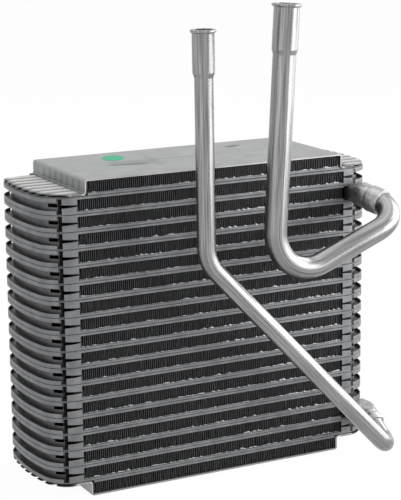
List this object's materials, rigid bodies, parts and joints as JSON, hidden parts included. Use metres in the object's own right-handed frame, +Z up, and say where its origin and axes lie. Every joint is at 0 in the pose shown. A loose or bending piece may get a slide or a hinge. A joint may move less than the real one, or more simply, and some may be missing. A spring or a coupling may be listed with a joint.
{
  "type": "evaporator core",
  "caption": "Laminated aluminium evaporator core: stacked flat tubes with corrugated fins between them, ribbed side plates and two bent pipes with belled mouths.",
  "frame": {"origin": "centre of the bottom side plate's outer face, which the core stands on", "axes": "+X along the flat tubes towards the tank with the ports, -Y out of the face that the pipes pass, +Z up the stack of tubes towards the pipes' mouths"},
  "size_m": [0.2631, 0.1482, 0.3378],
  "materials": {
    "plate": "brazed clad sheet, dull satin",
    "fin": "thin brazed sheet, dull",
    "side_plate": "pressed sheet, satin",
    "port": "pressed sheet, satin",
    "pipe": "drawn tube, satin",
    "sticker": "matt paper label"
  },
  "bodies": {
    "root": {"tube_01_upper": "plate", "tube_02_upper": "plate", "tube_03_upper": "plate", "tube_04_upper": "plate", "tube_05_upper": "plate", "tube_06_upper": "plate", "tube_07_upper": "plate", "tube_08_upper": "plate", "tube_09_upper": "plate", "tube_10_upper": "plate", "tube_11_upper": "plate", "tube_12_upper": "plate", "tube_13_upper": "plate", "tube_14_upper": "plate", "tube_15_upper": "plate", "tube_16_upper": "plate", "tube_17_upper": "plate", "tube_18_upper": "plate", "tube_01_lower": "plate", "tube_02_lower": "plate", "tube_03_lower": "plate", "tube_04_lower": "plate", "tube_05_lower": "plate", "tube_06_lower": "plate", "tube_07_lower": "plate", "tube_08_lower": "plate", "tube_09_lower": "plate", "tube_10_lower": "plate", "tube_11_lower": "plate", "tube_12_lower": "plate", "tube_13_lower": "plate", "tube_14_lower": "plate", "tube_15_lower": "plate", "tube_16_lower": "plate", "tube_17_lower": "plate", "tube_18_lower": "plate", "fin_row_01": "fin", "fin_row_02": "fin", "fin_row_03": "fin", "fin_row_04": "fin", "fin_row_05": "fin", "fin_row_06": "fin", "fin_row_07": "fin", "fin_row_08": "fin", "fin_row_09": "fin", "fin_row_10": "fin", "fin_row_11": "fin", "fin_row_12": "fin", "fin_row_13": "fin", "fin_row_14": "fin", "fin_row_15": "fin", "fin_row_16": "fin", "fin_row_17": "fin", "outer_fin_rows": "fin", "top_side_plate": "side_plate", "bottom_side_plate": "side_plate", "suction_port": "port", "liquid_port": "port", "suction_pipe": "pipe", "liquid_pipe": "pipe"}
  },
  "joints": []
}
